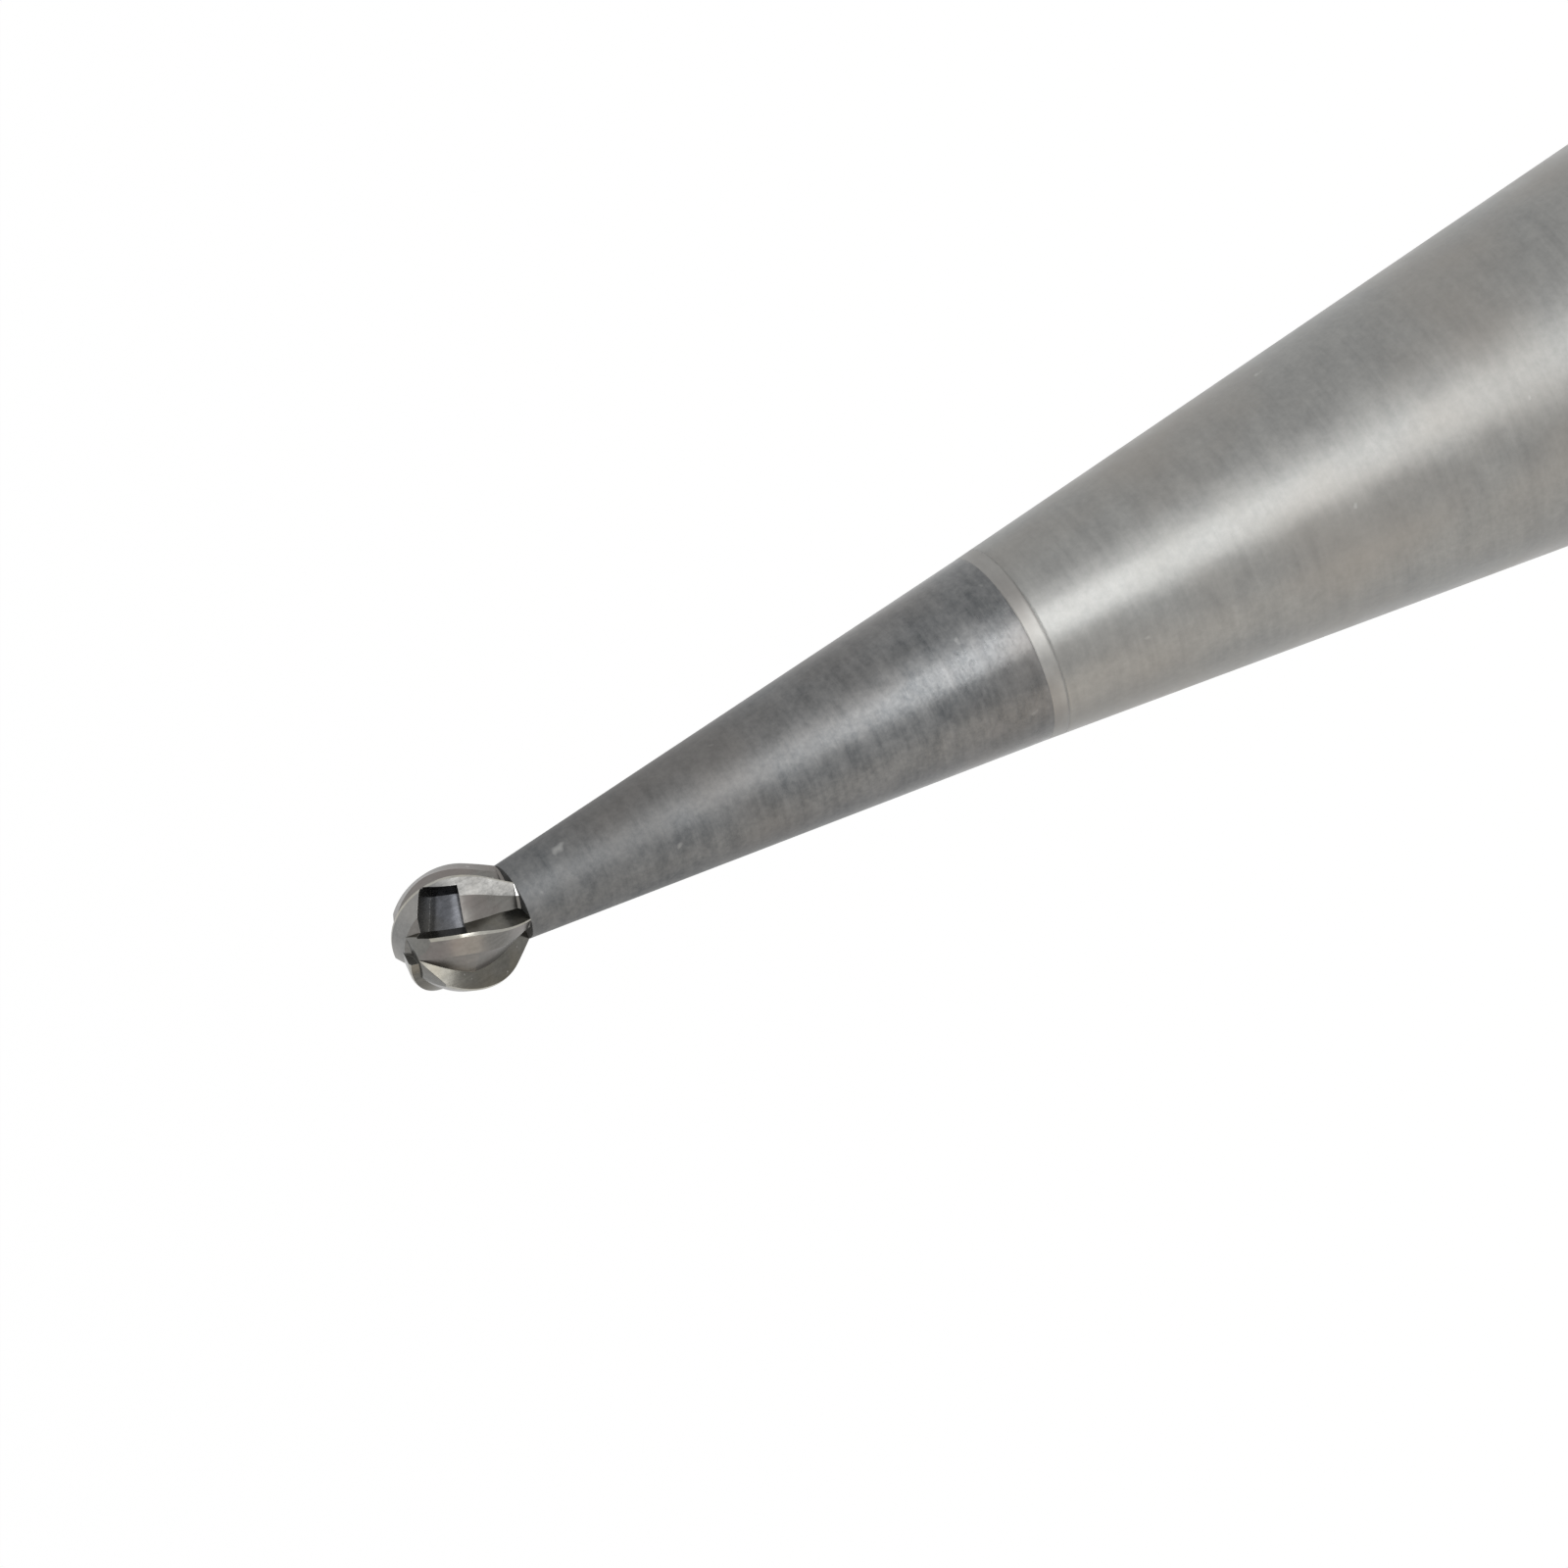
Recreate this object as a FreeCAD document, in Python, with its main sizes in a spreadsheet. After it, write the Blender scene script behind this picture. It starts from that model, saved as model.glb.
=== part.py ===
import FreeCAD, Part
import math
import os
import Sketcher

# Carbide burr with a six-toothed ball head.
# The axis is +Z, the tip points up, and the origin is the centre of the shank's end face.
# All lengths are in millimetres and all angles in degrees.

os.makedirs("parts", exist_ok=True)
doc = FreeCAD.newDocument("carbide_burr")

# Driving sizes
sizes = doc.addObject("Spreadsheet::Sheet", "sizes")
driving_sizes = [
    ("overall_length", 44.5, "end of shank to tip"),
    ("shank_diameter", 2.35, "cylinder held by the collet"),
    ("end_chamfer", 0.2, "bevel round the shank's end"),
    ("taper_start", 35.4, "height at which the steel starts to taper"),
    ("nose_diameter", 1.212, "steel taper at the seam"),
    ("seam_thickness", 0.1, "braze between steel and carbide"),
    ("joint_diameter", 1.188, "carbide taper at the seam"),
    ("joint_setback", 3.73, "carbide face behind the ball's centre"),
    ("neck_diameter", 0.474, "thinnest place behind the ball"),
    ("neck_setback", 0.367, "neck behind the ball's centre"),
    ("head_diameter", 0.8, "ball over the cutting edges"),
    ("core_diameter", 0.52, "ball inside the flutes"),
    ("tooth_count", 6, "cutting edges round the ball"),
    ("spiral_angle", 16.7, "tilt of each edge from the axis"),
    ("rear_sweep", 30, "arc of the flutes behind the ball's widest place"),
    ("short_sweep", 80, "arc of the short teeth forward of it"),
    ("long_start", 27, "start of the arc that only the long teeth have"),
    ("long_sweep", 97, "arc of the long teeth, which cross the tip"),
    ("rake_angle", 30, "lean of the cutting face below its edge"),
    ("land_width", 0.02, "unground strip behind each edge"),
    ("relief_angle", 28, "first facet behind the land"),
    ("relief_width", 0.125, "land and first facet together"),
    ("back_angle", 50, "second facet, down to the root"),
    ("exit_angle", 15, "ramp where the grinding leaves the neck"),
    ("long_tooth_count", 2, "edges that run on over the tip"),
    ("gullet_start", 6, "start of the deep gullet, forward of the widest place"),
    ("gullet_sweep", 62, "arc of the deep gullet"),
    ("gullet_depth", 0.14, "gullet below the cutting edge behind it"),
    ("gullet_lean", 12, "lean of the cutting face in the gullet"),
    ("gullet_floor", 0.235, "width of the gullet's floor"),
    ("gullet_fall", 0.06, "fall of that floor across its width"),
    ("gullet_wall_lean", 43.5, "lean of the gullet's far wall"),
    ("nose_depth", 0.065, "flat front of the short teeth, below the long edges"),
    ("nose_radius", 0.16, "where that front starts to slope"),
    ("nose_slope", 27, "slope from there down to the ball"),
]
for row, (alias, value, note) in enumerate(driving_sizes, start=1):
    sizes.set(f"A{row}", alias)
    sizes.set(f"B{row}", str(value))
    sizes.set(f"C{row}", note)
    sizes.setAlias(f"B{row}", alias)
doc.recompute()

# Places worked out from the driving sizes
head_radius = "(sizes.head_diameter / 2)"
core_radius = "(sizes.core_diameter / 2)"
neck_radius = "(sizes.neck_diameter / 2)"
joint_radius = "(sizes.joint_diameter / 2)"
nose_radius = "(sizes.nose_diameter / 2)"
shank_radius = "(sizes.shank_diameter / 2)"
ball_height = f"(sizes.overall_length - {head_radius})"
neck_height = f"({ball_height} - sizes.neck_setback)"
joint_height = f"({ball_height} - sizes.joint_setback)"
seam_height = f"({joint_height} - sizes.seam_thickness)"
clear_radius = f"({head_radius} * 1.3)"


def origin_item(body, role):
    """The plane or axis of a body's own origin that has this role."""
    return next(item for item in body.Origin.OriginFeatures if item.Role == role)


def sketch_on(body, role, name, offsets=None):
    """An empty sketch on an origin plane, moved or turned by expressions."""
    sketch = body.newObject("Sketcher::SketchObject", name)
    sketch.AttachmentSupport = [(origin_item(body, role), "")]
    sketch.MapMode = "FlatFace"
    for path, expression in (offsets or {}).items():
        sketch.setExpression(f"AttachmentOffset.{path}", expression)
    return sketch


def point_at(sketch, corner):
    """A point of the sketch plane, from a pair of expressions."""
    across, up = corner
    return FreeCAD.Vector(sketch.evalExpression(across), sketch.evalExpression(up), 0)


def pin(sketch, geometry, end, corner):
    """Hold one end of a line or arc at a corner given by expressions."""
    for kind, expression in zip(("DistanceX", "DistanceY"), corner):
        value = sketch.evalExpression(expression)
        number = sketch.addConstraint(Sketcher.Constraint(kind, -1, 1, geometry, end, value))
        sketch.setExpression(f"Constraints[{number}]", expression)


def draw_lines(sketch, corners, closed=True):
    """Straight lines through pinned corners, the last one back to the first if closed."""
    points = [point_at(sketch, corner) for corner in corners]
    ends = points[1:] + points[:1] if closed else points[1:]
    lines = [sketch.addGeometry(Part.LineSegment(start, end), False)
             for start, end in zip(points, ends)]
    for line, corner in zip(lines, corners):
        pin(sketch, line, 1, corner)
    for line, following in zip(lines, lines[1:]):
        sketch.addConstraint(Sketcher.Constraint("Coincident", line, 2, following, 1))
    if closed:
        sketch.addConstraint(Sketcher.Constraint("Coincident", lines[-1], 2, lines[0], 1))
    else:
        pin(sketch, lines[-1], 2, corners[-1])
    return lines


def turned(body, kind, name, sketch, axis="V_Axis", angle="360"):
    """A sketch turned about one of its own axes, as a Revolution or a Groove."""
    feature = body.newObject(f"PartDesign::{kind}", name)
    feature.Profile = sketch
    feature.ReferenceAxis = (sketch, [axis])
    feature.setExpression("Angle", angle)
    sketch.Visibility = False
    return feature


def round_the_axis(body, name, features, count):
    """Features repeated evenly round the body's axis."""
    pattern = body.newObject("PartDesign::PolarPattern", name)
    pattern.Originals = features
    pattern.Axis = (origin_item(body, "Z_Axis"), [""])
    pattern.Angle = 360
    pattern.setExpression("Occurrences", count)
    body.Tip = pattern
    return pattern


def turned_piece(name, corners):
    """A body of its own, turned about the axis from a straight-sided half section."""
    body = doc.addObject("PartDesign::Body", name)
    body.Label = name
    half_section = sketch_on(body, "XZ_Plane", f"{name}_section")
    draw_lines(half_section, corners)
    turned(body, "Revolution", f"{name}_turned", half_section)
    return body


# Steel shank: a chamfered cylinder that tapers to the seam
steel_shank = turned_piece("steel_shank", [
    ("0", "0"),
    (f"{shank_radius} - sizes.end_chamfer", "0"),
    (shank_radius, "sizes.end_chamfer"),
    (shank_radius, "sizes.taper_start"),
    (nose_radius, seam_height),
    ("0", seam_height),
])

# Braze seam: the thin disc of solder that fills the joint
braze_seam = turned_piece("braze_seam", [
    ("0", seam_height),
    (nose_radius, seam_height),
    (joint_radius, joint_height),
    ("0", joint_height),
])

# Carbide head: the core inside the flutes comes first, a ball with a cone behind it.
# Behind the ball's centre it falls like the flutes do and ends on the exit ramp.
run_out_slope = "tan(sizes.rear_sweep)"
exit_slope = "tan(sizes.exit_angle)"
fall_to_neck = f"({core_radius} - sizes.neck_setback * {run_out_slope})"
ramp_foot = (f"(({fall_to_neck} + {neck_radius} * {exit_slope} * {run_out_slope})"
             f" / (1 + {exit_slope} * {run_out_slope}))")
ramp_foot_height = f"({neck_height} + ({neck_radius} - {ramp_foot}) * {exit_slope})"

carbide_head = doc.addObject("PartDesign::Body", "carbide_head")
carbide_head.Label = "carbide_head"
core_section = sketch_on(carbide_head, "XZ_Plane", "core_section")
draw_lines(core_section, [
    ("0", ball_height),
    ("0", ramp_foot_height),
    (ramp_foot, ramp_foot_height),
    (core_radius, ball_height),
])
core_cone = turned(carbide_head, "Revolution", "core_cone", core_section)
core_ball = carbide_head.newObject("PartDesign::AdditiveSphere", "core_ball")
core_ball.AttachmentSupport = [(origin_item(carbide_head, "XY_Plane"), "")]
core_ball.MapMode = "FlatFace"
core_ball.setExpression("AttachmentOffset.Base.z", ball_height)
core_ball.setExpression("Radius", core_radius)

# Teeth: the section across one cutting edge is drawn where the ball is widest.
# In it x runs backward from the edge and y outward from the ball's centre.
# The land is left over when the ball is turned to size, so the facets first meet above it.
# The back ends in the root, where it meets the next tooth's cutting face.
rake_slope = "tan(sizes.rake_angle)"
relief_slope = "tan(sizes.relief_angle)"
back_slope = "tan(sizes.back_angle)"
apex_back = (f"({relief_slope} * sizes.land_width * {rake_slope}"
             f" / (1 + {relief_slope} * {rake_slope}))")
apex_radius = f"({head_radius} + {relief_slope} * (sizes.land_width - {apex_back}))"
heel_radius = f"({head_radius} - {relief_slope} * (sizes.relief_width - sizes.land_width))"
tooth_pitch = "(360 / sizes.tooth_count)"
next_face_turn = f"({tooth_pitch} + sizes.rake_angle)"
next_face_slope = f"(cos({next_face_turn}) / sin({next_face_turn}))"
next_face_start = (f"({head_radius} * cos({tooth_pitch})"
                   f" - {head_radius} * sin({tooth_pitch}) * {next_face_slope})")
root_back = (f"(({heel_radius} + sizes.relief_width * {back_slope} - {next_face_start})"
             f" / ({back_slope} + {next_face_slope}))")
root_radius = f"({heel_radius} - ({root_back} - sizes.relief_width) * {back_slope})"

tooth_corners = [
    (apex_back, apex_radius),
    ("sizes.relief_width", heel_radius),
    (root_back, root_radius),
    (f"({root_radius} - {head_radius}) * {rake_slope}", root_radius),
]


def tooth_section(name, forward):
    """The tooth's section, turned about the ball's centre to an angle forward of the widest place."""
    section = sketch_on(carbide_head, "XY_Plane", name, {
        "Base.z": ball_height,
        "Rotation.Pitch": "-sizes.spiral_angle",
        "Rotation.Roll": forward,
    })
    draw_lines(section, tooth_corners)
    return section


rear_section = tooth_section("rear_section", "-sizes.rear_sweep")
short_tooth = turned(carbide_head, "Revolution", "short_tooth", rear_section,
                     axis="H_Axis", angle="sizes.rear_sweep + sizes.short_sweep")

# Behind that arc the same section runs straight back and dies out at the neck.
tooth_rear = carbide_head.newObject("PartDesign::Pad", "tooth_rear")
tooth_rear.Profile = rear_section
tooth_rear.Reversed = True
tooth_rear.setExpression("Length", "sizes.neck_setback")
teeth = round_the_axis(carbide_head, "teeth", [short_tooth, tooth_rear], "sizes.tooth_count")

# Nose: the short teeth are faced off in front, then the long ones are added.
nose_height = f"({ball_height} + {head_radius} - sizes.nose_depth)"
nose_section = sketch_on(carbide_head, "XZ_Plane", "nose_section")
draw_lines(nose_section, [
    ("0", nose_height),
    ("sizes.nose_radius", nose_height),
    (clear_radius, f"{nose_height} - ({clear_radius} - sizes.nose_radius) * tan(sizes.nose_slope)"),
    (clear_radius, f"{ball_height} + {clear_radius}"),
    ("0", f"{ball_height} + {clear_radius}"),
])
nose = turned(carbide_head, "Groove", "nose", nose_section)
long_section = tooth_section("long_section", "sizes.long_start")
long_tooth = turned(carbide_head, "Revolution", "long_tooth", long_section,
                    axis="H_Axis", angle="sizes.long_sweep - sizes.long_start")
long_teeth = round_the_axis(carbide_head, "long_teeth", [long_tooth], "sizes.long_tooth_count")

# Deep gullets: one ahead of each short tooth that follows a long one
gullet_lean = "tan(sizes.gullet_lean)"
gullet_root = f"({head_radius} - sizes.gullet_depth)"
gullet_face = f"(sizes.gullet_depth * {gullet_lean})"
gullet_far = f"({gullet_face} + sizes.gullet_floor)"
gullet_bottom = f"({gullet_root} - sizes.gullet_fall)"
gullet_far_rim = f"({gullet_far} + ({clear_radius} - {gullet_bottom}) * tan(sizes.gullet_wall_lean))"
gullet_section = sketch_on(carbide_head, "XY_Plane", "gullet_section", {
    "Base.z": ball_height,
    "Rotation.Yaw": "-360 / sizes.tooth_count",
    "Rotation.Pitch": "-sizes.spiral_angle",
    "Rotation.Roll": "sizes.gullet_start",
})
draw_lines(gullet_section, [
    (f"({clear_radius} - {head_radius}) * {gullet_lean}", clear_radius),
    (f"-{gullet_face}", gullet_root),
    (f"-{gullet_far}", gullet_bottom),
    (f"-{gullet_far_rim}", clear_radius),
])
gullet = turned(carbide_head, "Groove", "gullet", gullet_section,
                axis="H_Axis", angle="sizes.gullet_sweep")
gullets = round_the_axis(carbide_head, "gullets", [gullet], "sizes.long_tooth_count")

# Turned ball: the cutting edges are finished to a ball whose flank runs on to the neck.
# The section is everything outside it, so only the arc and its tangent flank touch the head.
ball_section = sketch_on(carbide_head, "XZ_Plane", "ball_section")
tip = ("0", "sizes.overall_length")
neck = (neck_radius, neck_height)
surround = draw_lines(ball_section, [
    tip,
    ("0", f"{ball_height} + {clear_radius}"),
    (clear_radius, f"{ball_height} + {clear_radius}"),
    (clear_radius, joint_height),
    (neck_radius, joint_height),
    neck,
], closed=False)
ball_centre = point_at(ball_section, ("0", ball_height))
circle = Part.Circle(ball_centre, FreeCAD.Vector(0, 0, 1), ball_section.evalExpression(head_radius))
ball = ball_section.addGeometry(Part.ArcOfCircle(circle, 0, math.pi / 2), False)
flank = ball_section.addGeometry(
    Part.LineSegment(point_at(ball_section, neck), circle.value(0)), False)
pin(ball_section, ball, 3, ("0", ball_height))
ball_section.addConstraint(Sketcher.Constraint("Coincident", ball, 2, surround[0], 1))
ball_section.addConstraint(Sketcher.Constraint("Coincident", flank, 1, surround[-1], 2))
ball_section.addConstraint(Sketcher.Constraint("Tangent", flank, 2, ball, 1))
turned_ball = turned(carbide_head, "Groove", "turned_ball", ball_section)

# Stem: the carbide taper, with the ramp at its neck where the flutes run out
stem_section = sketch_on(carbide_head, "XZ_Plane", "stem_section")
draw_lines(stem_section, [
    ("0", joint_height),
    (joint_radius, joint_height),
    neck,
    (ramp_foot, ramp_foot_height),
    ("0", ramp_foot_height),
])
stem = turned(carbide_head, "Revolution", "stem", stem_section)
carbide_head.Tip = stem

doc.recompute()

# Nothing is written unless every object is sound and every cut takes material away
for item in doc.Objects:
    if "Invalid" in item.State or "Error" in item.State:
        raise RuntimeError(f"{item.Label} did not build: {item.State}")
for cut in (nose, gullets, turned_ball):
    removed = cut.BaseFeature.Shape.Volume - cut.Shape.Volume
    print(f"{cut.Label} takes away {removed:.5f}")
    if removed <= 0:
        raise RuntimeError(f"{cut.Label} takes nothing away")

for piece in (steel_shank, braze_seam, carbide_head):
    piece.Placement = FreeCAD.Placement()
    shape = piece.Shape
    if shape.isNull() or not shape.isValid() or len(shape.Solids) != 1:
        raise RuntimeError(f"{piece.Label} is not one sound solid")
    shape.exportStep(f"parts/{piece.Label}.step")
    box = shape.BoundBox
    print(f"{piece.Label}: volume {shape.Volume:.4f}, {len(shape.Faces)} faces,"
          f" from {box.ZMin:.3f} to {box.ZMax:.3f} high, {box.XLength:.3f} across")
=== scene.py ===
import bmesh
import bpy
from math import acos, atan2, cos, hypot, pi, radians, sin, tan
from mathutils import Matrix, Vector


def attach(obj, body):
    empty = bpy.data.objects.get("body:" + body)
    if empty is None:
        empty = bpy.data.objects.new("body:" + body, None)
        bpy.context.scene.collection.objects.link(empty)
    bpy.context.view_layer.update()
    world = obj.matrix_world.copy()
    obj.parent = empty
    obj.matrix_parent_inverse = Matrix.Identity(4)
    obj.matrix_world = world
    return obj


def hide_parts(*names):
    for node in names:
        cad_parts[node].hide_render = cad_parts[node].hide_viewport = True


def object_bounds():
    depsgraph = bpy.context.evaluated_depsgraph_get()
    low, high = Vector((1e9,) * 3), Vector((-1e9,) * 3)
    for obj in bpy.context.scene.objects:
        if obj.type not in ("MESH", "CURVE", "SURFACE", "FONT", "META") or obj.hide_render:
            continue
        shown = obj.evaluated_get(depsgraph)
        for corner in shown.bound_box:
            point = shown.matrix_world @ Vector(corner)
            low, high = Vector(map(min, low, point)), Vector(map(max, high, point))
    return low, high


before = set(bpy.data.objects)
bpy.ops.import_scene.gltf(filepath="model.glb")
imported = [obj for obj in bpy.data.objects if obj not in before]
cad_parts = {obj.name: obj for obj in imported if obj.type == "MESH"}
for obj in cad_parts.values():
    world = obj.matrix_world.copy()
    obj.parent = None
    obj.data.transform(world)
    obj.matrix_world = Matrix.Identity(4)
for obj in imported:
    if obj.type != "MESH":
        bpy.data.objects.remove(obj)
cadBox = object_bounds()
mm = 0.001
scene = bpy.context.scene

# Pieces are drawn in millimetres, then scaled to metres on the burr's axis.


def solid(name, points, faces):
    mesh = bpy.data.meshes.new(name)
    mesh.from_pydata(points, [], faces)
    shape = bmesh.new()
    shape.from_mesh(mesh)
    bmesh.ops.recalc_face_normals(shape, faces=shape.faces)
    shape.to_mesh(mesh)
    shape.free()
    piece = bpy.data.objects.new(name, mesh)
    scene.collection.objects.link(piece)
    return piece


def swept(name, outlines, sideLooks):
    # a row of equal outlines joined into one closed solid, with a look for each side
    count = len(outlines[0])
    points = [point for outline in outlines for point in outline]
    faces = [tuple(range(count)), tuple(range(len(points) - count, len(points)))]
    looks = [0, 0]
    for row in range(0, len(points) - count, count):
        for i in range(count):
            j = (i + 1) % count
            faces.append((row + i, row + j, row + count + j, row + count + i))
            looks.append(sideLooks[i])
    piece = solid(name, points, faces)
    piece.data.polygons.foreach_set("material_index", looks)
    return piece


def turned(name, profile, steps):
    # a profile of (radius, height) turned about the axis, on which it starts and ends
    angles = [2 * pi * i / steps for i in range(steps)]
    rings = profile[1:-1]
    points = [(r * cos(a), r * sin(a), z) for r, z in rings for a in angles]
    faces = []
    for row in range(0, len(points) - steps, steps):
        for i in range(steps):
            j = (i + 1) % steps
            faces.append((row + i, row + j, row + steps + j, row + steps + i))
    for pole, row in ((profile[0], 0), (profile[-1], len(rings) * steps - steps)):
        points.append((0, 0, pole[1]))
        faces += [(row + i, row + (i + 1) % steps, len(points) - 1) for i in range(steps)]
    return solid(name, points, faces)


def combined(piece, cutters, operation):
    for cutter in cutters:
        step = piece.modifiers.new(cutter.name, "BOOLEAN")
        step.object = cutter
        step.operation = operation
        step.solver = "MANIFOLD"      # keeps each face's look
    shape = bpy.data.meshes.new_from_object(piece.evaluated_get(bpy.context.evaluated_depsgraph_get()))
    piece.modifiers.clear()
    piece.data = shape
    for cutter in cutters:
        bpy.data.objects.remove(cutter)


def withoutSlivers(piece, distance):
    shape = bmesh.new()
    shape.from_mesh(piece.data)
    bmesh.ops.remove_doubles(shape, verts=shape.verts, dist=distance)
    shape.to_mesh(piece.data)
    shape.free()


def finished(piece, height, sharpAngle, node, materials):
    piece.data.transform(Matrix.Scale(mm, 4) @ Matrix.Translation((0, 0, height)))
    piece.data.shade_smooth()
    piece.data.set_sharp_from_angle(angle=radians(sharpAngle))
    if not piece.data.materials:
        for material in materials:
            piece.data.materials.append(material)
    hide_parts(node)
    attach(piece, "root")


class Link:
    # a socket that sums write as ordinary arithmetic
    def __init__(self, finish, socket):
        self.finish = finish
        self.socket = socket

    def maths(self, operation, *values):
        return self.finish.node("ShaderNodeMath", {"operation": operation}, dict(enumerate(values)))

    def __add__(self, other):
        return self.maths("ADD", self, other)

    def __radd__(self, other):
        return self.maths("ADD", other, self)

    def __sub__(self, other):
        return self.maths("SUBTRACT", self, other)

    def __rsub__(self, other):
        return self.maths("SUBTRACT", other, self)

    def __mul__(self, other):
        return self.maths("MULTIPLY", self, other)

    def __rmul__(self, other):
        return self.maths("MULTIPLY", other, self)


mixFirst, mixSecond, mixResult = 6, 7, 2            # the colour sockets of a Mix node
shaderShare, shaderFirst, shaderSecond = 0, 1, 2    # the sockets of a Mix Shader


class Finish:
    # a material or world and the nodes in it
    def __init__(self, owner):
        owner.use_nodes = True
        self.owner = owner
        self.tree = owner.node_tree
        self.tree.nodes.clear()

    def node(self, kind, settings=None, inputs=None, output=0):
        # settings come first, then a value or a link for each socket
        added = self.tree.nodes.new(kind)
        for name, value in (settings or {}).items():
            setattr(added, name, value)
        for name, value in (inputs or {}).items():
            if isinstance(value, Link):
                self.tree.links.new(value.socket, added.inputs[name])
            else:
                added.inputs[name].default_value = value
        return Link(self, added.outputs[output]) if len(added.outputs) else added

    def spread(self, scale):
        # places on the piece in millimetres, stretched by a scale for each axis
        place = self.node("ShaderNodeTexCoord", output="Object")
        return self.node("ShaderNodeVectorMath", {"operation": "MULTIPLY"},
                         {0: place, 1: tuple(s / mm for s in scale)})

    def noise(self, scale, detail, roughness):
        return self.node("ShaderNodeTexNoise", {}, {
            "Vector": self.spread(scale), "Scale": 1, "Detail": detail, "Roughness": roughness})

    def ramp(self, value, low, high):
        return self.node("ShaderNodeMapRange", {"clamp": True}, {
            "Value": value, "From Min": low, "From Max": high, "To Min": 0, "To Max": 1})

    def mixed(self, share, first, second):
        return self.node("ShaderNodeMix", {"data_type": "RGBA"},
                         {"Factor": share, mixFirst: first, mixSecond: second}, mixResult)


# What all the metals share; each noise has its detail and roughness
grinding = {
    "lines": (4, 0.65), "cloud": (3, 0.6), "grain": (3, 0.7), "speck": (2, 0.5), "stain": (2, 0.5),
    "toneRange": (0.3, 0.7), "stainRange": (0.4, 0.65), "speckFade": 0.1, "middle": 0.5,
    "reliefHeight": 0.001, "edgeSamples": 4,
}


def metal(name, look):
    finish = Finish(bpy.data.materials.new(name))
    lines = finish.noise(look["lineScale"], *grinding["lines"])       # grinding lines
    cloud = finish.noise(look["cloudScale"], *grinding["cloud"])      # broad unevenness
    grain = finish.noise(look["grainScale"], *grinding["grain"])      # the metal's own grain
    speck = finish.noise(look["speckScale"], *grinding["speck"])      # a few bright nicks; their lighter colour is partly a painted glint
    stain = finish.noise(look["tintScale"], *grinding["stain"])       # heat and oil stains
    nicksAndGlints = finish.ramp(speck, look["speckFrom"], look["speckFrom"] + grinding["speckFade"])
    height = finish.node("ShaderNodeSeparateXYZ", {}, {"Vector": finish.spread((1, 1, 1))}, "Z")
    toTip = finish.ramp(height, *look["tipRange"])
    tone = (finish.ramp(lines, *grinding["toneRange"]) * look["lineShare"]
            + finish.ramp(cloud, *grinding["toneRange"]) * look["cloudShare"]
            + finish.ramp(grain, *grinding["toneRange"]) * look["grainShare"])
    # painted shade: the colour is darkened toward the tip where a look asks for it
    colour = finish.mixed(tone * (1 - toTip * look["paintedTipShade"]), look["dark"], look["light"])
    tint = finish.ramp(stain, *grinding["stainRange"])
    colour = finish.mixed(tint * look["tintShare"], colour, look["tint"])
    # nicks drawn lighter: real nicks, partly a painted glint
    colour = finish.mixed(nicksAndGlints, colour, look["nickGlintColour"])
    middle = grinding["middle"]
    rough = (look["roughness"] + toTip * look["roughTip"] + (lines - middle) * look["roughLines"]
             + (cloud - middle) * look["roughCloud"] - nicksAndGlints * look["roughSpeck"])
    relief = lines * look["lineDepth"] + grain * look["grainDepth"] + cloud * look["cloudDepth"]
    edges = finish.node("ShaderNodeBevel", {"samples": grinding["edgeSamples"]},
                        {"Radius": look["edge"] * mm})      # worn edges
    bump = finish.node("ShaderNodeBump", {}, {
        "Strength": look["bump"], "Distance": grinding["reliefHeight"] * mm, "Height": relief,
        "Normal": edges})
    surface = finish.node("ShaderNodeBsdfPrincipled", {}, {
        "Base Color": colour, "Metallic": 1, "Roughness": rough, "Normal": bump})
    finish.node("ShaderNodeOutputMaterial", {}, {"Surface": surface})
    return finish.owner


# Steel shank: a bevelled cylinder that tapers to the seam
shank = {
    "radius": 1.175, "bevel": 0.2, "taperStart": 35.4, "noseRadius": 0.606, "seam": 40.27,
    "softLength": 1.5,      # the start of the taper is shaded soft over this much of the cylinder
    "steps": 256, "sharpAngle": 25,
    "look": {
        "dark": (0.185, 0.187, 0.183, 1), "light": (0.305, 0.304, 0.292, 1),
        "tint": (0.27, 0.25, 0.225, 1), "tintShare": 0.5, "tintScale": (1.2, 1.2, 0.8),
        "nickGlintColour": (0.40, 0.40, 0.38, 1), "speckScale": (7, 7, 7), "speckFrom": 0.74,
        "lineScale": (1.2, 1.2, 16), "cloudScale": (3.2, 3.2, 4.5), "grainScale": (22, 22, 22),
        "lineShare": 0.3, "cloudShare": 0.4, "grainShare": 0.3,
        "roughness": 0.36, "roughLines": 0.12, "roughCloud": 0.26, "roughSpeck": 0.1,
        "tipRange": (40, 44), "roughTip": 0, "paintedTipShade": 0,
        "lineDepth": 0.5, "grainDepth": 0.25, "cloudDepth": 2.5, "bump": 0.35, "edge": 0.03,
    },
}
steelLook = metal("satinSteel", shank["look"])
shankProfile = [
    (0, 0), (shank["radius"] - shank["bevel"], 0), (shank["radius"], shank["bevel"]),
    (shank["radius"], shank["taperStart"] - shank["softLength"]), (shank["radius"], shank["taperStart"]),
    (shank["noseRadius"], shank["seam"]), (0, shank["seam"])]
shankPiece = turned("shank", shankProfile, shank["steps"])
finished(shankPiece, 0, shank["sharpAngle"], "steel_shank", [steelLook])
print("shank made")

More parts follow.
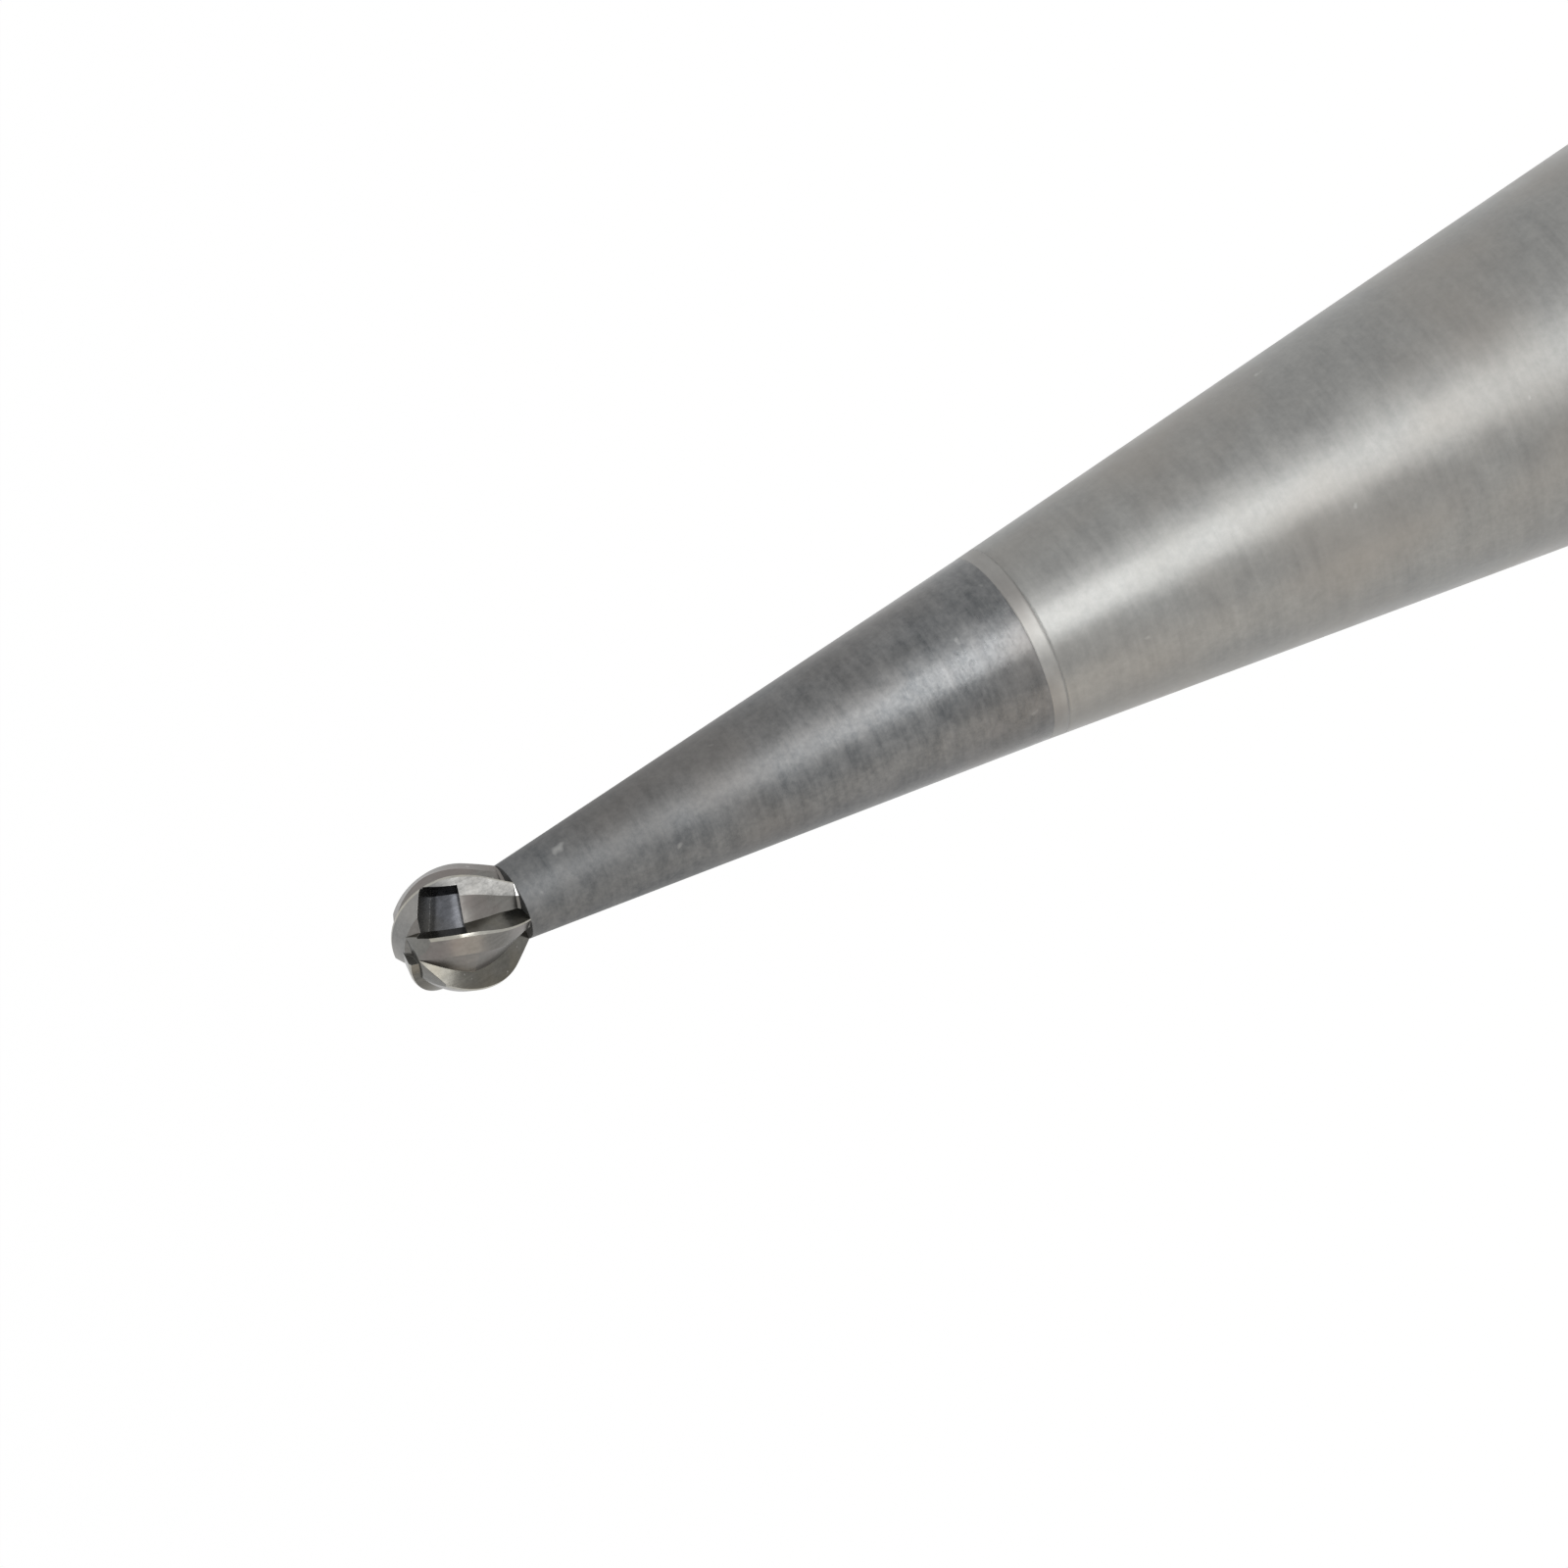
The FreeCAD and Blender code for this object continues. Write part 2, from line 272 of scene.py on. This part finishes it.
# Braze seam: a thin band of solder
seam = {
    "bottom": 40.27, "top": 40.37, "bottomRadius": 0.606, "topRadius": 0.594,
    "steps": 256, "sharpAngle": 25,
    "look": {
        "dark": (0.24, 0.238, 0.23, 1), "light": (0.33, 0.325, 0.31, 1),
        "tint": (0.20, 0.19, 0.18, 1), "tintShare": 0.6, "tintScale": (2.5, 2.5, 6),
        "nickGlintColour": (0.42, 0.41, 0.39, 1), "speckScale": (9, 9, 9), "speckFrom": 0.72,
        "lineScale": (2, 2, 16), "cloudScale": (4, 4, 6), "grainScale": (20, 20, 20),
        "lineShare": 0.3, "cloudShare": 0.4, "grainShare": 0.3,
        "roughness": 0.40, "roughLines": 0.1, "roughCloud": 0.2, "roughSpeck": 0.1,
        "tipRange": (40, 44), "roughTip": 0, "paintedTipShade": 0,
        "lineDepth": 0.6, "grainDepth": 0.4, "cloudDepth": 2.5, "bump": 0.4, "edge": 0.02,
    },
}
solderLook = metal("silverSolder", seam["look"])
seamProfile = [(0, seam["bottom"]), (seam["bottomRadius"], seam["bottom"]),
               (seam["topRadius"], seam["top"]), (0, seam["top"])]
seamPiece = turned("seam", seamProfile, seam["steps"])
finished(seamPiece, 0, seam["sharpAngle"], "braze_seam", [solderLook])
print("seam made")

# Carbide head: the taper and its neck are one piece, the fluted ball another.
# Heights and drops are measured from the ball's centre, turns and sweeps are in degrees.
head = {
    "centre": 44.1, "radius": 0.4, "coreRadius": 0.26,
    "jointRadius": 0.594, "jointDrop": 3.73, "neckRadius": 0.237, "neckDrop": 0.367,
    "teeth": 6, "longTeeth": 2, "lean": 16.7, "rake": 30, "land": 0.02,
    "relief": 28, "reliefWidth": 0.125, "back": 50, "exit": 15,
    "turnError": {2: -6, 3: -12, 4: -2},      # teeth that sit off the even spacing
    "shortSweep": 80, "longStart": 27, "longSweep": 97,
    "rearSweep": 30, "rearLean": 22, "rearRunOut": 0.02,
    "gulletStart": 10, "gulletSweep": 48, "gulletDepth": 0.14, "gulletLean": 12,
    "gulletFloor": 0.195, "gulletFall": 0.06, "gulletWallLean": 43.5,
    "noseDepth": 0.065, "noseRadius": 0.16, "noseSlope": 27,
    "clear": 0.52,             # cutters reach this far, well outside the ball
    "coreTail": 0.05,          # how far the core runs down into the neck
    "blankTail": 3,            # how many neck drops the blank runs down
    "mergeDistance": 0.0001,   # slivers left by the cuts are closed up to this size
    "steps": 256, "arcSteps": 70, "rearSteps": 40, "coreSteps": 96, "coreArcSteps": 24,
    "stemSharpAngle": 20, "ballSharpAngle": 8,
    "look": {
        "dark": (0.070, 0.075, 0.080, 1), "light": (0.220, 0.221, 0.220, 1),
        "tint": (0.165, 0.150, 0.136, 1), "tintShare": 0.4, "tintScale": (1.6, 1.6, 1.0),
        "nickGlintColour": (0.36, 0.36, 0.35, 1), "speckScale": (5, 5, 5), "speckFrom": 0.71,
        "lineScale": (2.0, 2.0, 20), "cloudScale": (5, 5, 7), "grainScale": (26, 26, 26),
        "lineShare": 0.3, "cloudShare": 0.4, "grainShare": 0.3,
        "roughness": 0.30, "roughLines": 0.16, "roughCloud": 0.24, "roughSpeck": 0.15,
        "tipRange": (40.8, 43), "roughTip": 0.26, "paintedTipShade": 0,
        "lineDepth": 0.9, "grainDepth": 0.5, "cloudDepth": 5, "bump": 0.6, "edge": 0.004,
    },
    # what the ball's ground faces share, then each face's own values; some of these paint highlight or shade
    "groundLook": {
        "nickGlintColour": (0.45, 0.44, 0.42, 1), "speckScale": (30, 30, 30), "speckFrom": 0.72,
        "lineScale": (34, 34, 5), "cloudScale": (7, 7, 7), "grainScale": (45, 45, 45), "tintScale": (4, 4, 4),
        "lineShare": 0.45, "cloudShare": 0.3, "grainShare": 0.25,
        "roughLines": 0.12, "roughCloud": 0.12, "roughSpeck": 0.1,
        "tipRange": (40, 44), "roughTip": 0, "paintedTipShade": 0,
        "lineDepth": 0.4, "grainDepth": 0.25, "cloudDepth": 0.8, "bump": 0.5, "edge": 0.004,
    },
    "faceLooks": {
        "turnedCore": {
            "dark": (0.13, 0.13, 0.126, 1), "light": (0.22, 0.218, 0.205, 1),
            "tint": (0.17, 0.16, 0.14, 1), "tintShare": 0.4, "roughness": 0.28},
        # the first facet's very light colour is a painted highlight
        "firstFacetHighlight": {
            "dark": (0.17, 0.17, 0.167, 1), "light": (0.78, 0.77, 0.74, 1),
            "tint": (0.40, 0.38, 0.35, 1), "tintShare": 0.3, "roughness": 0.24,
            "tipRange": (44.02, 44.2), "paintedTipShade": 0.85},      # painted shade, darker in front of the widest place
        "secondFacet": {
            "dark": (0.125, 0.122, 0.115, 1), "light": (0.225, 0.218, 0.205, 1),
            "tint": (0.185, 0.157, 0.148, 1), "tintShare": 0.55, "roughness": 0.3},
        # the cutting faces' dark colour is painted shade
        "cuttingFaceShade": {
            "dark": (0.07, 0.068, 0.06, 1), "light": (0.15, 0.145, 0.13, 1),
            "tint": (0.13, 0.115, 0.085, 1), "tintShare": 0.5, "roughness": 0.22},
        # the gullet's dark colour is painted shade in the hollow
        "gulletFloor": {
            "dark": (0.05, 0.052, 0.057, 1), "light": (0.15, 0.155, 0.17, 1),
            "tint": (0.09, 0.087, 0.08, 1), "tintShare": 0.5, "roughness": 0.26},
        # the land's light yellowish colour is a painted highlight along the tooth edges
        "groundLandHighlight": {
            "dark": (0.26, 0.255, 0.235, 1), "light": (0.46, 0.45, 0.41, 1),
            "tint": (0.36, 0.33, 0.26, 1), "tintShare": 0.5, "roughness": 0.2},
    },
}
carbideLook = metal("sinteredCarbide", head["look"])
faceLooks = [metal(name, {**head["groundLook"], **look}) for name, look in head["faceLooks"].items()]
coreLook, litFirstLook, secondLook, shadedCuttingLook, shadedGulletLook, litLandLook = range(len(faceLooks))

ballRadius, coreRadius = head["radius"], head["coreRadius"]
neckRadius, neckDrop = head["neckRadius"], head["neckDrop"]
neckPoint = (neckRadius, -neckDrop)
runOutSlope = tan(radians(head["rearSweep"]))
exitSlope = tan(radians(head["exit"]))
fallToNeck = coreRadius - neckDrop * runOutSlope
rampRadius = (fallToNeck + neckRadius * exitSlope * runOutSlope) / (1 + exitSlope * runOutSlope)
rampPoint = (rampRadius, -neckDrop + (neckRadius - rampRadius) * exitSlope)
stemProfile = [(0, -head["jointDrop"]), (head["jointRadius"], -head["jointDrop"]), neckPoint, rampPoint,
               (0, rampPoint[1])]
stemPiece = turned("carbideStem", stemProfile, head["steps"])
finished(stemPiece, head["centre"], head["stemSharpAngle"], "carbide_head", [carbideLook])
print("carbide taper made")


def arcPoints(radius, angle, steps):
    # points of a profile from the pole round to an angle
    return [(radius * sin(angle * i / steps), radius * cos(angle * i / steps)) for i in range(1, steps + 1)]


# Blank: the ball with its tangent flank
tangentAngle = atan2(neckRadius, -neckDrop) - acos(ballRadius / hypot(*neckPoint))
tangentRadius, tangentDrop = ballRadius * sin(tangentAngle), -ballRadius * cos(tangentAngle)
blankEnd = -head["blankTail"] * neckDrop
blankProfile = [(0, ballRadius)] + arcPoints(ballRadius, tangentAngle, head["arcSteps"])
blankProfile += [neckPoint, (neckRadius, blankEnd), (0, blankEnd)]
blank = turned("blank", blankProfile, head["steps"])
# the uncut turned faces take the land's painted highlight
blank.data.polygons.foreach_set("material_index", [litLandLook] * len(blank.data.polygons))

# Core inside the flutes
coreProfile = [(0, coreRadius)] + arcPoints(coreRadius, pi / 2, head["coreArcSteps"])
coreProfile += [rampPoint, (0, rampPoint[1] - head["coreTail"])]
ballPiece = turned("flutedBall", coreProfile, head["coreSteps"])
for material in faceLooks:
    ballPiece.data.materials.append(material)

# A tooth's section: back from the cutting edge, and out from the axis
reliefSlope = tan(radians(head["relief"]))
backSlope = tan(radians(head["back"]))
rakeSlope = tan(radians(head["rake"]))
pitch = 2 * pi / head["teeth"]
apexBack = reliefSlope * head["land"] * rakeSlope / (1 + reliefSlope * rakeSlope)
apex = (apexBack, ballRadius + reliefSlope * (head["land"] - apexBack))
heel = (head["reliefWidth"], ballRadius - reliefSlope * (head["reliefWidth"] - head["land"]))
nextSlope = cos(pitch + radians(head["rake"])) / sin(pitch + radians(head["rake"]))
nextStart = ballRadius * cos(pitch) - ballRadius * sin(pitch) * nextSlope
rootBack = (heel[1] + head["reliefWidth"] * backSlope - nextStart) / (backSlope + nextSlope)
root = (rootBack, heel[1] - (rootBack - head["reliefWidth"]) * backSlope)
toothSection = [apex, heel, root, ((root[1] - ballRadius) * rakeSlope, root[1])]
toothLooks = [secondLook, secondLook, secondLook, shadedCuttingLook]
longLooks = [litFirstLook, secondLook, secondLook, shadedCuttingLook]


def toothArc(turn, section, first, last):
    # the section swept round the ball from one angle to another, on a plane that leans
    lean, spin = radians(head["lean"]), Matrix.Rotation(radians(turn), 3, "Z")
    back = spin @ Vector((cos(lean), 0, sin(lean)))
    out = spin @ Vector((0, 1, 0))
    along = spin @ Vector((-sin(lean), 0, cos(lean)))
    outlines = []
    for i in range(head["arcSteps"] + 1):
        angle = radians(first + (last - first) * i / head["arcSteps"])
        reach = out * cos(angle) + along * sin(angle)
        outlines.append([back * x + reach * y for x, y in section])
    return outlines


def flankRadius(drop):
    # the turned ball's radius at a depth below its centre
    if drop < tangentDrop:
        return (ballRadius ** 2 - drop ** 2) ** 0.5
    share = (drop - tangentDrop) / (neckDrop - tangentDrop)
    return tangentRadius + (neckRadius - tangentRadius) * share


def toothRear(turn, section):
    # behind the widest place the section shrinks with the ball and winds on round it to the neck
    lean = radians(head["lean"])
    wound, outlines = 0, []
    steps, rearEnd = head["rearSteps"], neckDrop + head["rearRunOut"]
    for i in range(1, steps + 1):
        drop = rearEnd * i / steps
        radius = flankRadius(min(drop, neckDrop))
        wound += rearEnd / steps * tan(radians(head["rearLean"])) / radius
        size = radius / ballRadius
        spin = Matrix.Rotation(radians(turn) - wound, 3, "Z")
        outlines.append([spin @ Vector((x * cos(lean), y, x * sin(lean))) * size - Vector((0, 0, drop))
                         for x, y in section])
    return outlines[::-1]


everyLong = head["teeth"] // head["longTeeth"]
evenTurn = 360 / head["teeth"]
toothTurns = [evenTurn * number + head["turnError"].get(number, 0) for number in range(head["teeth"])]
teeth = []
for number, turn in enumerate(toothTurns):
    outlines = toothRear(turn, toothSection) + toothArc(turn, toothSection, 0, head["shortSweep"])
    teeth.append(swept(f"tooth{number}", outlines, longLooks if number % everyLong == 0 else toothLooks))
combined(ballPiece, teeth, "UNION")

# Nose: the short teeth are faced off in front, then the long ones are added
clear = head["clear"]
noseHeight = ballRadius - head["noseDepth"]
noseEdge = noseHeight - (clear - head["noseRadius"]) * tan(radians(head["noseSlope"]))
noseProfile = [(0, noseHeight), (head["noseRadius"], noseHeight), (clear, noseEdge), (clear, clear),
               (0, clear)]
combined(ballPiece, [turned("nose", noseProfile, head["coreSteps"])], "DIFFERENCE")
longTeeth = []
for turn in toothTurns[::everyLong]:
    outlines = toothArc(turn, toothSection, head["longStart"], head["longSweep"])
    longTeeth.append(swept(f"longTooth{turn:.0f}", outlines, longLooks))
combined(ballPiece, longTeeth, "UNION")

# Gullets: a deep one lies ahead of each short tooth that follows a long one
gulletLeanSlope = tan(radians(head["gulletLean"]))
gulletWallSlope = tan(radians(head["gulletWallLean"]))
gulletRoot = ballRadius - head["gulletDepth"]
gulletBottom = gulletRoot - head["gulletFall"]
gulletFace = head["gulletDepth"] * gulletLeanSlope
gulletFar = gulletFace + head["gulletFloor"]
gulletSection = [((clear - ballRadius) * gulletLeanSlope, clear), (-gulletFace, gulletRoot),
                 (-gulletFar, gulletBottom), (-gulletFar - (clear - gulletBottom) * gulletWallSlope, clear)]
gulletLooks = [shadedCuttingLook, shadedGulletLook, shadedGulletLook, shadedGulletLook]
gullets = []
for turn in toothTurns[everyLong - 1::everyLong]:
    outlines = toothArc(turn, gulletSection, head["gulletStart"], head["gulletStart"] + head["gulletSweep"])
    gullets.append(swept(f"gullet{turn:.0f}", outlines, gulletLooks))
combined(ballPiece, gullets, "DIFFERENCE")
combined(ballPiece, [blank], "INTERSECT")
withoutSlivers(ballPiece, head["mergeDistance"])
looksUsed = [face.material_index for face in ballPiece.data.polygons]
finished(ballPiece, head["centre"], head["ballSharpAngle"], "carbide_head", faceLooks)
print("fluted ball made, faces for each look:", [looksUsed.count(i) for i in range(len(faceLooks))])

# Camera: the photograph's, found from the taper lines, the seam and the tooth corners.
# Frame, focal length and place of the ball are in the photograph's pixels.
photo = {
    "frame": 1600, "focal": 17500, "ballPixel": (467.5, 949.0), "distance": 0.1,
    "roll": 27.3, "tipLean": 16.5, "azimuth": 39,
    "sensor": 36, "clip": (0.005, 50),
}
half = photo["frame"] / 2
pixel = photo["distance"] / photo["focal"]
ballPlace = Vector(((photo["ballPixel"][0] - half) * pixel, (half - photo["ballPixel"][1]) * pixel,
                    -photo["distance"]))
roll, tipLean = radians(photo["roll"]), radians(photo["tipLean"])
burrAxis = Vector((-cos(tipLean) * cos(roll), -cos(tipLean) * sin(roll), sin(tipLean)))
nearSide = (-ballPlace - burrAxis * burrAxis.dot(-ballPlace)).normalized()
fromView = Matrix((nearSide, burrAxis.cross(nearSide), burrAxis))      # from the camera's axes to the burr's
fromView = Matrix.Rotation(radians(photo["azimuth"]), 3, "Z") @ fromView
ballCentre = Vector((0, 0, head["centre"] * mm))
cameraData = bpy.data.cameras.new("camera")
cameraData.sensor_width = photo["sensor"]
cameraData.lens = photo["focal"] / photo["frame"] * photo["sensor"]
cameraData.clip_start, cameraData.clip_end = photo["clip"]
camera = bpy.data.objects.new("camera", cameraData)
camera.matrix_world = Matrix.Translation(ballCentre - fromView @ ballPlace) @ fromView.to_4x4()
scene.collection.objects.link(camera)
scene.camera = camera
print("camera placed")

# Lamps: places are to the right of the camera's view, above it and toward it
studio = {
    "distance": 0.3,
    "lamps": {
        "key": {"place": (0.28, 0.18, 0.94), "size": 0.18, "level": 4.2, "colour": (1, 1, 1)},
        "upper": {"place": (0.08, 0.53, 0.84), "size": 0.16, "level": 1.2, "colour": (1, 1, 1)},
        "warm": {"place": (0.30, -0.93, 0.2), "size": 0.25, "level": 0.75, "colour": (1, 0.84, 0.66)},
    },
    "white": (1, 1, 1, 1), "worldLevel": 0.5, "seenLevel": 1,
    "floorSize": 20, "floorGap": 0.01, "floorColour": (0.9, 0.9, 0.9, 1),
    "shadowShare": 0.15, "glowLevel": 1.09,
}
for name, lamp in studio["lamps"].items():
    light = bpy.data.lights.new(name, "AREA")
    light.size = lamp["size"]
    light.energy = lamp["level"] * pi * lamp["size"] ** 2      # its face is then that bright
    light.color = lamp["colour"]
    lampPiece = bpy.data.objects.new(name, light)
    toLamp = fromView @ Vector(lamp["place"]).normalized()
    lampPiece.location = ballCentre + toLamp * studio["distance"]
    lampPiece.rotation_euler = (-toLamp).to_track_quat("-Z", "Y").to_euler()
    scene.collection.objects.link(lampPiece)


def seenDirectly(finish):
    # 1 for what the camera, a reflection or a view through glass sees
    direct, glossy, glass = [finish.node("ShaderNodeLightPath", output=f"Is {kind} Ray")
                             for kind in ("Camera", "Glossy", "Transmission")]
    return finish.node("ShaderNodeClamp", {}, {"Value": direct + glossy + glass})


sky = Finish(bpy.data.worlds.new("studio"))
scene.world = sky.owner
lit = sky.node("ShaderNodeBackground", {}, {"Color": studio["white"], "Strength": studio["worldLevel"]})
seen = sky.node("ShaderNodeBackground", {}, {"Color": studio["white"], "Strength": studio["seenLevel"]})
around = sky.node("ShaderNodeMixShader", {}, {
    shaderShare: seenDirectly(sky), shaderFirst: lit, shaderSecond: seen})
sky.node("ShaderNodeOutputWorld", {}, {"Surface": around})

floorHalf = studio["floorSize"] / 2
floorCorners = [(-floorHalf, -floorHalf, 0), (floorHalf, -floorHalf, 0), (floorHalf, floorHalf, 0),
                (-floorHalf, floorHalf, 0)]
floor = solid("floor", floorCorners, [(0, 1, 2, 3)])
floor.location.z = cadBox[0].z - studio["floorGap"] * mm
paper = Finish(bpy.data.materials.new("whitePaper"))
matt = paper.node("ShaderNodeBsdfDiffuse", {}, {"Color": studio["floorColour"]})
glow = paper.node("ShaderNodeEmission", {}, {"Color": studio["white"], "Strength": studio["glowLevel"]})
glowShare = seenDirectly(paper) * (1 - studio["shadowShare"])      # the rest of the floor keeps the shadow
paperSurface = paper.node("ShaderNodeMixShader", {}, {
    shaderShare: glowShare, shaderFirst: matt, shaderSecond: glow})
paper.node("ShaderNodeOutputMaterial", {}, {"Surface": paperSurface})
floor.data.materials.append(paper.owner)
scene.view_settings.view_transform = "Standard"
print("studio made")
